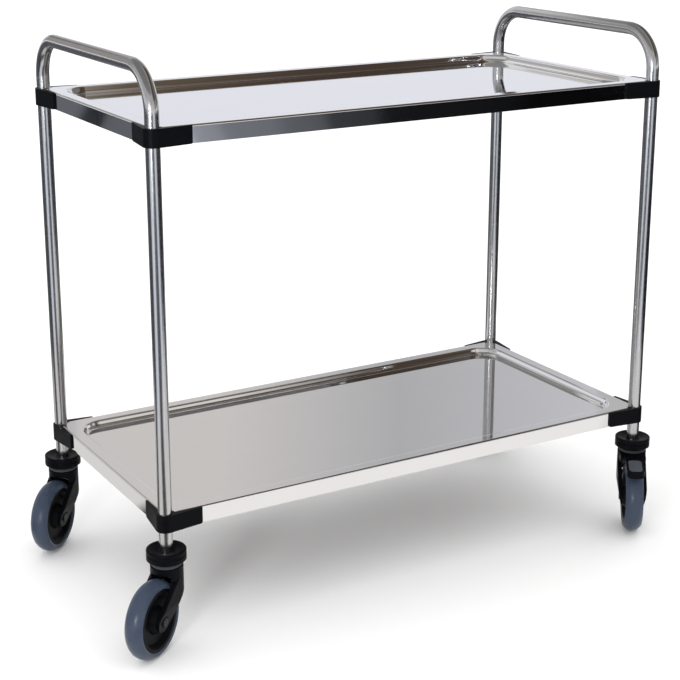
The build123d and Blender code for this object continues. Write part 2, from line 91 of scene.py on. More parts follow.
class TrolleySheets(bpy.types.PropertyGroup):
    """Finish of the shelves and of the mats under them."""

    colour: colour_setting("Colour", "Colour of the polished sheet", (0.80, 0.80, 0.81))
    roughness: share_setting("Roughness", "How dull the sheet is", 0.05)
    ripple: length_setting("Ripple", "Height of the slow waves left in the drawn sheet", 0.00004)
    mat_colour: colour_setting("Mat colour", "Colour of the sound-deadening mats", (0.180, 0.174, 0.167))


class TrolleyPlastics(bpy.types.PropertyGroup):
    """Finish of the moulded pieces."""

    black: colour_setting("Black", "Colour of the black mouldings", (0.0024, 0.0027, 0.0038))
    grey: colour_setting("Grey", "Colour of the dust rings", (0.050, 0.053, 0.060))
    pad: colour_setting("Pad", "Colour of the pedal pads", (0.062, 0.067, 0.082))
    roughness: share_setting("Roughness", "How matt the mouldings are", 0.38)
    grain: length_setting("Grain", "Depth of the moulded grain", 0.00004)


class TrolleyWheels(bpy.types.PropertyGroup):
    """Finish of the wheels."""

    tyre: colour_setting("Tyre", "Colour of the rubber tread", (0.036, 0.049, 0.077))
    roughness: share_setting("Roughness", "How matt the tread is", 0.30)


class TrolleyFixings(bpy.types.PropertyGroup):
    """Sizes and finish of the screws and other plated steel."""

    head_diameter: length_setting("Head diameter", "Diameter of a connector screw's head", 0.008)
    head_height: length_setting("Head height", "Height of a connector screw's head", 0.0024)
    shank_diameter: length_setting("Shank diameter", "Diameter of a connector screw's shank", 0.004)
    recess_span: length_setting("Recess span", "Span of the cross recess in the head", 0.0044)
    recess_width: length_setting("Recess width", "Width of each arm of the cross recess", 0.0011)
    recess_depth: length_setting("Recess depth", "Depth of the cross recess", 0.0013)
    colour: colour_setting("Colour", "Colour of the zinc plating", (0.56, 0.57, 0.58))
    roughness: share_setting("Roughness", "How dull the plating is", 0.28)
    dark_colour: colour_setting("Dark colour", "Colour of the black axle bolts", (0.035, 0.035, 0.038))


class TrolleyStage(bpy.types.PropertyGroup):
    """Camera, floor and light."""

    camera_place: FloatVectorProperty(
        name="Camera place", description="Where the camera stands",
        default=(-1.3441, -2.2456, 1.2015), size=3, subtype="TRANSLATION", unit="LENGTH",
    )
    camera_yaw: FloatProperty(
        name="Camera yaw", description="Heading of the view, from +X",
        default=math.radians(59.571), subtype="ANGLE",
    )
    camera_pitch: FloatProperty(
        name="Camera pitch", description="How far the view tips down",
        default=math.radians(15.766), subtype="ANGLE",
    )
    lens: FloatProperty(
        name="Lens", description="Focal length in millimetres", default=81.41, unit="CAMERA"
    )
    shift: FloatProperty(name="Shift", description="Vertical shift of the lens", default=-0.08)
    floor_colour: colour_setting("Floor", "Colour of the studio floor", (0.90, 0.90, 0.90))
    broad_light: FloatProperty(
        name="Broad light", description="Strength of the wide overhead light", default=3.0
    )
    key_light: FloatProperty(
        name="Key light", description="Power of the soft box at the left", default=20.0, unit="POWER"
    )


groups = {
    "trolley_tubes": TrolleyTubes,
    "trolley_sheets": TrolleySheets,
    "trolley_plastics": TrolleyPlastics,
    "trolley_wheels": TrolleyWheels,
    "trolley_fixings": TrolleyFixings,
    "trolley_stage": TrolleyStage,
}


# Materials


class Finish:
    """A material under construction: a Principled shader and short ways to wire nodes to it."""

    def __init__(self, name, colour, metallic, roughness):
        self.material = bpy.data.materials.new(name)
        self.material.use_nodes = True
        self.tree = self.material.node_tree
        self.shader = self.tree.nodes["Principled BSDF"]
        self.shader.inputs["Base Color"].default_value = (*colour, 1.0)
        self.shader.inputs["Metallic"].default_value = metallic
        self.shader.inputs["Roughness"].default_value = roughness

    def node(self, kind, settings=None, **inputs):
        made = self.tree.nodes.new(kind)
        for key, value in (settings or {}).items():
            setattr(made, key, value)
        for key, value in inputs.items():
            self.feed(made.inputs[key.replace("_", " ")], value)
        return made

    def feed(self, socket, value):
        if isinstance(value, bpy.types.NodeSocket):
            self.tree.links.new(value, socket)
        else:
            socket.default_value = value

    def place(self, scale=(1.0, 1.0, 1.0)):
        coordinates = self.node("ShaderNodeTexCoord")
        mapping = self.node("ShaderNodeMapping", Scale=scale, Vector=coordinates.outputs["Object"])
        return mapping.outputs["Vector"]

    def noise(self, vector, scale, detail=2.0, roughness=0.5):
        made = self.node(
            "ShaderNodeTexNoise", Vector=vector, Scale=scale, Detail=detail, Roughness=roughness
        )
        return made.outputs["Fac"]

    def span(self, value, low, high, start=0.3, end=0.7):
        """Stretches the part of a noise from start to end over the range from low to high."""
        made = self.node(
            "ShaderNodeMapRange", {"clamp": True},
            Value=value, From_Min=start, From_Max=end, To_Min=low, To_Max=high,
        )
        return made.outputs["Result"]

    def blend(self, amount, first, second):
        """Mixes two colours, by the sockets that a Mix node keeps for colours."""
        first_socket, second_socket, result_socket = 6, 7, 2
        made = self.node("ShaderNodeMix", {"data_type": "RGBA"})
        self.feed(made.inputs["Factor"], amount)
        self.feed(made.inputs[first_socket], (*first, 1.0))
        self.feed(made.inputs[second_socket], (*second, 1.0))
        return made.outputs[result_socket]

    def colour(self, socket):
        self.feed(self.shader.inputs["Base Color"], socket)

    def roughness(self, socket):
        self.feed(self.shader.inputs["Roughness"], socket)

    def specular(self, level):
        self.feed(self.shader.inputs["Specular IOR Level"], level)

    def drift(self, amount, colour, darkest, lightest):
        """Lets the colour drift between a darker and a lighter tint of itself."""
        self.colour(self.blend(amount, tinted(colour, darkest), tinted(colour, lightest)))

    def wear(self, amount, roughness, smoothest, dullest, start=0.3, end=0.7):
        """Lets the roughness vary between two shares of itself."""
        self.roughness(self.span(amount, roughness * smoothest, roughness * dullest, start, end))

    def bumps(self, *heights):
        """Chains one Bump node for each (height socket, depth in metres)."""
        normal = None
        for height, depth in heights:
            bump = self.node("ShaderNodeBump", Strength=1.0, Distance=depth, Height=height)
            if normal is not None:
                self.feed(bump.inputs["Normal"], normal)
            normal = bump.outputs["Normal"]
        self.feed(self.shader.inputs["Normal"], normal)


def tinted(colour, factor):
    return tuple(min(1.0, channel * factor) for channel in colour)


def tube_finish(settings):
    """Satin stainless tube: fine rings from the polishing belt, and slight clouding."""
    ring_scale = (60.0, 60.0, 2600.0)
    ring_depth = 0.0000012
    finish = Finish("polished_tube_finish", settings.colour, metallic=1.0, roughness=settings.roughness)
    along = finish.node("ShaderNodeAttribute", {"attribute_name": "tube_place"}).outputs["Vector"]
    belt = finish.node("ShaderNodeMapping", Scale=ring_scale, Vector=along).outputs["Vector"]
    rings = finish.noise(belt, scale=1.0, detail=3.0, roughness=0.6)
    cloud = finish.noise(along, scale=26.0, detail=3.0)
    finish.drift(cloud, settings.colour, darkest=0.93, lightest=1.05)
    finish.wear(rings, settings.roughness, smoothest=0.75, dullest=1.3)
    finish.bumps((rings, ring_depth))
    return finish.material


def sheet_finish(settings):
    """Mirror-polished sheet with slow drawing ripples, faint polishing lines and wiping marks."""
    line_scale, smear_scale = (4.0, 900.0, 900.0), (1.0, 1.6, 1.0)
    line_depth = 0.0000004
    finish = Finish("polished_sheet_finish", settings.colour, metallic=1.0, roughness=settings.roughness)
    slow = finish.noise(finish.place(), scale=7.0, detail=1.0)
    lines = finish.noise(finish.place(line_scale), scale=1.0)
    smears = finish.noise(finish.place(smear_scale), scale=9.0, detail=4.0, roughness=0.65)
    finish.drift(smears, settings.colour, darkest=0.96, lightest=1.0)
    finish.wear(smears, settings.roughness, smoothest=0.7, dullest=1.6, start=0.35, end=0.8)
    finish.bumps((slow, settings.ripple), (lines, line_depth))
    return finish.material


def mat_finish(settings):
    """Pressed bitumen sheet: coarse dull grain."""
    grain_depth = 0.0002
    finish = Finish("sound_mat_finish", settings.mat_colour, metallic=0.0, roughness=0.8)
    grain = finish.noise(finish.place(), scale=700.0, detail=3.0)
    cloud = finish.noise(finish.place(), scale=18.0, detail=3.0)
    finish.drift(cloud, settings.mat_colour, darkest=0.7, lightest=1.35)
    finish.roughness(finish.span(grain, low=0.7, high=0.92))
    finish.bumps((grain, grain_depth))
    return finish.material


def moulded_finish(name, colour, roughness, grain_depth):
    """Moulded plastic: fine spark grain, slight flow marks and rubbed patches."""
    flow_scale = (1.0, 1.0, 3.0)
    finish = Finish(name, colour, metallic=0.0, roughness=roughness)
    finish.specular(level=0.05)
    grain = finish.noise(finish.place(), scale=1500.0)
    flow = finish.noise(finish.place(flow_scale), scale=38.0, detail=3.0)
    finish.drift(flow, colour, darkest=0.8, lightest=1.3)
    finish.wear(flow, roughness, smoothest=0.85, dullest=1.2)
    finish.bumps((grain, grain_depth))
    return finish.material


def tyre_finish(settings):
    """Blue-grey rubber: soft bloom, fine tread grain and slight scuffing."""
    grain_depth = 0.00003
    finish = Finish("grey_tyre_finish", settings.tyre, metallic=0.0, roughness=settings.roughness)
    finish.specular(level=0.25)
    bloom = finish.noise(finish.place(), scale=45.0, detail=4.0, roughness=0.6)
    grain = finish.noise(finish.place(), scale=1100.0)
    finish.drift(bloom, settings.tyre, darkest=0.82, lightest=1.22)
    finish.wear(bloom, settings.roughness, smoothest=0.85, dullest=1.25)
    finish.bumps((grain, grain_depth))
    return finish.material


def plated_finish(settings):
    """Zinc plating: mottled sheen with a slight warm and cool drift."""
    warm_tint, cool_tint = (1.05, 1.0, 0.88), (0.92, 0.98, 1.06)
    fleck_depth = 0.00001
    finish = Finish("plated_steel_finish", settings.colour, metallic=1.0, roughness=settings.roughness)
    drift = finish.noise(finish.place(), scale=90.0)
    fleck = finish.noise(finish.place(), scale=1800.0)
    warm, cool = (
        tuple(channel * factor for channel, factor in zip(settings.colour, tint))
        for tint in (warm_tint, cool_tint)
    )
    finish.colour(finish.blend(drift, warm, cool))
    finish.wear(fleck, settings.roughness, smoothest=0.8, dullest=1.4)
    finish.bumps((fleck, fleck_depth))
    return finish.material


def blackened_finish(settings):
    """Blackened steel: dark oxide with a slight oily drift."""
    film_depth = 0.00001
    finish = Finish("blackened_steel_finish", settings.dark_colour, metallic=1.0, roughness=0.45)
    film = finish.noise(finish.place(), scale=120.0, detail=3.0)
    finish.drift(film, settings.dark_colour, darkest=0.7, lightest=1.3)
    finish.roughness(finish.span(film, low=0.38, high=0.55))
    finish.bumps((film, film_depth))
    return finish.material


def finish_once(name, maker):
    """The named material, made at its first use."""
    return bpy.data.materials.get(name) or maker()


def dress(node_names, material):
    """Gives CAD nodes their finish."""
    for name in node_names:
        for slot in nodes[name].material_slots:
            slot.material = material


def black_moulding(settings):
    return finish_once(
        "black_plastic_finish",
        lambda: moulded_finish(
            "black_plastic_finish", settings.black, settings.roughness, settings.grain
        ),
    )


def plated(settings):
    return finish_once("plated_steel_finish", lambda: plated_finish(settings))


# Geometry Nodes


class Tree:
    """A geometry node tree under construction."""

    def __init__(self, name):
        self.group = bpy.data.node_groups.new(name, "GeometryNodeTree")
        self.group.interface.new_socket("Geometry", in_out="INPUT", socket_type="NodeSocketGeometry")
        self.group.interface.new_socket("Geometry", in_out="OUTPUT", socket_type="NodeSocketGeometry")
        self.start = self.group.nodes.new("NodeGroupInput")
        self.end = self.group.nodes.new("NodeGroupOutput")

    def value(self, name, kind="NodeSocketFloat"):
        """Adds a named input and returns its output socket in the tree."""
        self.group.interface.new_socket(name, in_out="INPUT", socket_type=kind)
        return self.start.outputs[name]

    def node(self, kind, settings=None, links=()):
        made = self.group.nodes.new(kind)
        for key, value in (settings or {}).items():
            setattr(made, key, value)
        for key, value in dict(links).items():
            socket = made.inputs[key]
            if isinstance(value, bpy.types.NodeSocket):
                self.group.links.new(value, socket)
            else:
                socket.default_value = value
        return made

    def times(self, value, factor):
        return self.node("ShaderNodeMath", {"operation": "MULTIPLY"}, {0: value, 1: factor}).outputs[0]

    def half(self, value):
        return self.times(value, 0.5)

    def vector(self, x, y, z):
        return self.node("ShaderNodeCombineXYZ", None, {"X": x, "Y": y, "Z": z}).outputs["Vector"]

    def lifted(self, mesh, height):
        shift = self.vector(0.0, 0.0, height)
        made = self.node("GeometryNodeTransform", None, {"Geometry": mesh, "Translation": shift})
        return made.outputs["Geometry"]

    def kept(self, geometry, kind, name, value):
        """Captures a value on the points of the geometry, before a later node changes it."""
        made = self.node("GeometryNodeCaptureAttribute", {"domain": "POINT"}, {"Geometry": geometry})
        made.capture_items.new(kind, name)
        self.group.links.new(value, made.inputs[name])
        return made.outputs["Geometry"], made.outputs[name]

    def merged(self, operation, meshes, cut_from=None):
        """A boolean of the meshes, exact where faces lie on each other."""
        made = self.node("GeometryNodeMeshBoolean", {"operation": operation, "solver": "EXACT"})
        for mesh in meshes:
            self.group.links.new(mesh, made.inputs["Mesh 2"])
        if cut_from is not None:
            self.group.links.new(cut_from, made.inputs["Mesh 1"])
        return made.outputs["Mesh"]

    def finish(self, geometry, material):
        """Realize Instances and Set Material, then the output."""
        whole = self.node("GeometryNodeRealizeInstances", links={"Geometry": geometry})
        painted = self.node(
            "GeometryNodeSetMaterial",
            links={"Geometry": whole.outputs["Geometry"], "Material": material},
        )
        self.group.links.new(painted.outputs["Geometry"], self.end.inputs["Geometry"])


def grow(base, tree, values, name):
    """Runs the tree on the base object once and returns a plain mesh piece of that name."""
    modifier = base.modifiers.new("make", "NODES")
    modifier.node_group = tree.group
    for item in tree.group.interface.items_tree:
        if item.item_type == "SOCKET" and item.in_out == "INPUT" and item.name in values:
            modifier[item.identifier] = values[item.name]
    bpy.context.scene.collection.objects.link(base)
    bpy.context.view_layer.update()
    evaluated = base.evaluated_get(bpy.context.evaluated_depsgraph_get())
    mesh = bpy.data.meshes.new_from_object(evaluated)
    base.modifiers.remove(modifier)
    bpy.data.objects.remove(base)
    if not mesh.polygons:
        raise RuntimeError(f"{name} came out empty")
    mesh.name = name
    piece = bpy.data.objects.new(name, mesh)
    bpy.context.scene.collection.objects.link(piece)
    return piece


def swept_rod(tree, route, run, radius, sides):
    """A round rod along the route, with the place along and round it kept for its finish."""
    section = tree.node(
        "GeometryNodeCurvePrimitiveCircle", {"mode": "RADIUS"}, {"Resolution": sides, "Radius": radius}
    )
    position = tree.node("GeometryNodeInputPosition").outputs["Position"]
    profile, spot = tree.kept(section.outputs["Curve"], "VECTOR", "Spot", position)
    rod = tree.node(
        "GeometryNodeCurveToMesh", None, {"Curve": route, "Profile Curve": profile, "Fill Caps": True}
    )
    apart = tree.node("ShaderNodeSeparateXYZ", None, {"Vector": spot})
    place = tree.vector(apart.outputs["X"], apart.outputs["Y"], run)
    stored = tree.node(
        "GeometryNodeStoreNamedAttribute", {"data_type": "FLOAT_VECTOR", "domain": "POINT"},
        {"Geometry": rod.outputs["Mesh"], "Name": "tube_place", "Value": place},
    )
    return stored.outputs["Geometry"]


def bent_tube_tree():
    """Sweeps a hollow round section along the route, its corners rounded to the bend radius."""
    tree = Tree("bent_tube")
    diameter = tree.value("Diameter")
    bore = tree.value("Bore")
    bend = tree.value("Bend radius")
    sides = tree.value("Sides", "NodeSocketInt")
    steps = tree.value("Bend steps", "NodeSocketInt")
    material = tree.value("Material", "NodeSocketMaterial")
    rounded = tree.node(
        "GeometryNodeFilletCurve", {"mode": "POLY"},
        {"Curve": tree.start.outputs["Geometry"], "Radius": bend, "Count": steps},
    )
    distance = tree.node("GeometryNodeSplineParameter").outputs["Length"]
    route, run = tree.kept(rounded.outputs["Curve"], "FLOAT", "Run", distance)
    outside, inside = (
        swept_rod(tree, route, run, tree.half(width), sides) for width in (diameter, bore)
    )
    tree.finish(tree.merged("DIFFERENCE", (inside,), outside), material)
    return tree


def cross_screw_tree():
    """Pan-head screws with a cross recess, one at each point, each along its aim."""
    tree = Tree("cross_screws")
    head = tree.value("Head diameter")
    height = tree.value("Head height")
    shank = tree.value("Shank diameter")
    reach = tree.value("Shank length")
    span = tree.value("Recess span")
    width = tree.value("Recess width")
    depth = tree.value("Recess depth")
    material = tree.value("Material", "NodeSocketMaterial")
    sides = 32
    face_share, rim_share, crown_share = 0.25, 1 / 3, 2 / 3
    rim = tree.times(height, rim_share)
    crown = tree.node("GeometryNodeMeshCone", None, {
        "Vertices": sides,
        "Radius Bottom": tree.times(head, face_share),
        "Radius Top": tree.half(head),
        "Depth": tree.times(height, crown_share),
    })
    disc, rod = (
        tree.node(
            "GeometryNodeMeshCylinder", None,
            {"Vertices": sides, "Radius": tree.half(width_across), "Depth": run},
        )
        for width_across, run in ((head, rim), (shank, reach))
    )
    whole = tree.merged("UNION", (
        tree.lifted(crown.outputs["Mesh"], tree.times(height, -1.0)),
        tree.lifted(disc.outputs["Mesh"], tree.times(rim, -0.5)),
        tree.lifted(rod.outputs["Mesh"], tree.half(reach)),
    ))
    twice = tree.times(depth, 2.0)
    bars = []
    for size in (tree.vector(span, width, twice), tree.vector(width, span, twice)):
        bar = tree.node("GeometryNodeMeshCube", None, {"Size": size})
        bars.append(tree.lifted(bar.outputs["Mesh"], tree.times(height, -1.0)))
    screw = tree.merged("DIFFERENCE", bars, whole)
    aim = tree.node("GeometryNodeInputNamedAttribute", {"data_type": "FLOAT_VECTOR"}, {"Name": "aim"})
    turn = tree.node(
        "FunctionNodeAlignRotationToVector", {"axis": "Z"}, {"Vector": aim.outputs["Attribute"]}
    )
    placed = tree.node("GeometryNodeInstanceOnPoints", None, {
        "Points": tree.start.outputs["Geometry"],
        "Instance": screw,
        "Rotation": turn.outputs["Rotation"],
    })
    tree.finish(placed.outputs["Instances"], material)
    return tree


def screw_places(node, head_height):
    """Where each screw of a CAD node bears and which way it points, and the length of a shank."""
    screw_reach = 0.015
    clumps = []
    for vertex in nodes[node].data.vertices:
        point = vertex.co.copy()
        near = next((clump for clump in clumps if (clump[0] - point).length < screw_reach), None)
        if near is None:
            clumps.append([point])
        else:
            near.append(point)
    places = []
    for clump in clumps:
        low = [min(point[axis] for point in clump) for axis in range(3)]
        high = [max(point[axis] for point in clump) for axis in range(3)]
        sizes = [top - bottom for bottom, top in zip(low, high)]
        # A connector screw is shorter than its head is wide, so it points along its shortest side
        along = sizes.index(min(sizes))
        seat = Vector([(bottom + top) / 2 for bottom, top in zip(low, high)])
        aim = Vector((0.0, 0.0, 0.0))
        aim[along] = math.copysign(1.0, seat[along])
        seat[along] = (low if aim[along] > 0 else high)[along] + aim[along] * head_height
        shank_length = sizes[along] - head_height
        places.append((seat, aim))
    return places, shank_length


def smooth_rounds(mesh):
    """Smooth shading, with the edges of flat ends and recesses left sharp."""
    sharp_angle = math.radians(30.0)
    mesh.shade_smooth()
    mesh.set_sharp_from_angle(angle=sharp_angle)


class TROLLEY_OT_end_frames(bpy.types.Operator):
    """Bends each end frame from one tube: two posts and a push handle"""

    bl_idname = "trolley.end_frames"
    bl_label = "End frames"

    def execute(self, context):
        settings = context.scene.trolley_tubes
        material = tube_finish(settings)
        tree = bent_tube_tree()
        half = settings.diameter / 2
        for side in ("left", "right"):
            node = f"{side}_end_frame"
            low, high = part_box(node)
            across = (low.x + high.x) / 2
            front, rear = low.y + half, high.y - half
            handle = high.z - half
            stops = ((front, low.z), (front, handle), (rear, handle), (rear, low.z))
            route = bpy.data.curves.new(f"{side}_tube_route", "CURVE")
            route.dimensions = "3D"
            spline = route.splines.new("POLY")
            spline.points.add(len(stops) - 1)
            for point, (y, z) in zip(spline.points, stops):
                point.co = (across, y, z, 1.0)
            values = {
                "Diameter": settings.diameter,
                "Bore": settings.diameter - 2 * settings.wall,
                "Bend radius": settings.bend_radius,
                "Sides": settings.sides,
                "Bend steps": settings.bend_steps,
                "Material": material,
            }
            base = bpy.data.objects.new(f"{side}_tube_route", route)
            piece = grow(base, tree, values, f"{side}_bent_tube")
            smooth_rounds(piece.data)
            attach(piece, "frame")
            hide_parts(node)
        return {"FINISHED"}


class TROLLEY_OT_shelves(bpy.types.Operator):
    """Finishes the drawn shelves and the mats under them"""

    bl_idname = "trolley.shelves"
    bl_label = "Shelves"

    def execute(self, context):
        settings = context.scene.trolley_sheets
        dress([f"{tier}_shelf" for tier in tiers], sheet_finish(settings))
        dress([f"{tier}_sound_mat" for tier in tiers], mat_finish(settings))
        return {"FINISHED"}


class TROLLEY_OT_connectors(bpy.types.Operator):
    """Finishes the eight corner connectors and sets their screws"""

    bl_idname = "trolley.connectors"
    bl_label = "Corner connectors"

    def execute(self, context):
        scene = context.scene
        dress(
            [f"{tier}_{corner}_connector" for tier in tiers for corner in corners],
            black_moulding(scene.trolley_plastics),
        )
        fixings = scene.trolley_fixings
        dress(["post_clamp_screws"], plated(fixings))
        places, shank_length = screw_places("connector_screws", fixings.head_height)
        points = bpy.data.meshes.new("screw_points")
        points.from_pydata([seat for seat, aim in places], [], [])
        aims = points.attributes.new("aim", "FLOAT_VECTOR", "POINT")
        for spot, (seat, aim) in zip(aims.data, places):
            spot.vector = aim
        values = {
            "Head diameter": fixings.head_diameter,
            "Head height": fixings.head_height,
            "Shank diameter": fixings.shank_diameter,
            "Shank length": shank_length,
            "Recess span": fixings.recess_span,
            "Recess width": fixings.recess_width,
            "Recess depth": fixings.recess_depth,
            "Material": plated(fixings),
        }
        base = bpy.data.objects.new("screw_points", points)
        piece = grow(base, cross_screw_tree(), values, "cross_screws")
        smooth_rounds(piece.data)
        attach(piece, "frame")
        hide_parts("connector_screws")
        return {"FINISHED"}


class TROLLEY_OT_castors(bpy.types.Operator):
    """Finishes the castor forks, bumper discs, dust rings, stems and axles"""

    bl_idname = "trolley.castors"
    bl_label = "Castors"

    def execute(self, context):
        scene = context.scene
        plastics = scene.trolley_plastics
        black = black_moulding(plastics)
        ring = moulded_finish(
            "grey_plastic_finish", plastics.grey, roughness=0.45, grain_depth=plastics.grain
        )
        metal = plated(scene.trolley_fixings)
        dark = blackened_finish(scene.trolley_fixings)
        for corner in corners:
            dress([f"{corner}_{piece}" for piece in ("fork", "bumper_disc")], black)
            dress([f"{corner}_dust_ring"], ring)
            dress([f"{corner}_{piece}" for piece in ("castor_stem", "swivel_bearing")], metal)
            dress([f"{corner}_axle"], dark)
        dress(["stem_expanders"], black)
        return {"FINISHED"}


class TROLLEY_OT_wheels(bpy.types.Operator):
    """Finishes the tyres, wheel centres and bearings"""

    bl_idname = "trolley.wheels"
    bl_label = "Wheels"

    def execute(self, context):
        scene = context.scene
        rubber = tyre_finish(scene.trolley_wheels)
        for corner in corners:
            dress([f"{corner}_tyre"], rubber)
            dress([f"{corner}_wheel_centre"], black_moulding(scene.trolley_plastics))
            dress([f"{corner}_wheel_bearings"], plated(scene.trolley_fixings))
        return {"FINISHED"}


class TROLLEY_OT_brakes(bpy.types.Operator):
    """Finishes the brake pedals, their pads and pins"""

    bl_idname = "trolley.brakes"
    bl_label = "Brake pedals"

    def execute(self, context):
        scene = context.scene
        plastics = scene.trolley_plastics
        pad = moulded_finish(
            "pedal_pad_finish", plastics.pad, roughness=0.5, grain_depth=plastics.grain
        )
        for corner in braked:
            dress([f"{corner}_brake_pedal"], black_moulding(plastics))
            dress([f"{corner}_pedal_pad"], pad)
            dress([f"{corner}_pedal_pin"], plated(scene.trolley_fixings))
        return {"FINISHED"}


# Studio


def glossy_only(name, points, faces, shades):
    """A stage sheet that only reflections see, glowing with the shade given at each of its points."""
    mesh = bpy.data.meshes.new(name)
    mesh.from_pydata(points, [], faces)
    attribute = mesh.color_attributes.new("shade", "FLOAT_COLOR", "POINT")
    for spot, shade in zip(attribute.data, shades):
        spot.color = (*shade, 1.0)
    material = bpy.data.materials.new(f"{name}_paint")
    material.use_nodes = True
    tree = material.node_tree
    tree.nodes.clear()
    shade_in = tree.nodes.new("ShaderNodeVertexColor")
    shade_in.layer_name = "shade"
    glow = tree.nodes.new("ShaderNodeEmission")
    out = tree.nodes.new("ShaderNodeOutputMaterial")
    tree.links.new(shade_in.outputs["Color"], glow.inputs["Color"])
    tree.links.new(glow.outputs["Emission"], out.inputs["Surface"])
    mesh.materials.append(material)
    made = bpy.data.objects.new(name, mesh)
    bpy.context.scene.collection.objects.link(made)
    made.visible_camera = False
    made.visible_diffuse = False
    made.visible_shadow = False
    made.visible_transmission = False


def reflection_strip(name, columns):
    """A strip of columns, each (low point, high point, shade), blended from one column to the next."""
    points, shades, faces = [], [], []
    for low, high, shade in columns:
        points += [low, high]
        shades += [shade, shade]
    for start in range(0, len(points) - 2, 2):
        faces.append((start, start + 2, start + 3, start + 1))
    glossy_only(name, points, faces, shades)


def standing_card(name, columns, foot, top):
    """A strip that stands between two heights, through columns that are each (x, y, shade)."""
    reflection_strip(name, [((x, y, foot), (x, y, top), shade) for x, y, shade in columns])


def floor_cloth(name, columns, tint):
    """A strip just above the floor, through columns that are each (degrees, inner, outer, shade)."""
    height = 0.002
    strip = []
    for degrees, inner, outer, shade in columns:
        angle = math.radians(degrees)
        low, high = (
            (radius * math.cos(angle), radius * math.sin(angle), height) for radius in (inner, outer)
        )
        strip.append((low, high, tuple(shade * factor for factor in tint)))
    reflection_strip(name, strip)


def soft_box(name, middle, target, width, height, power):
    """A rectangular area light that points at a target."""
    data = bpy.data.lights.new(name, "AREA")
    data.shape = "RECTANGLE"
    data.size, data.size_y = width, height
    data.energy = power
    made = bpy.data.objects.new(name, data)
    bpy.context.scene.collection.objects.link(made)
    made.location = middle
    made.rotation_mode = "QUATERNION"
    made.rotation_quaternion = (Vector(target) - Vector(middle)).to_track_quat("-Z", "Y")


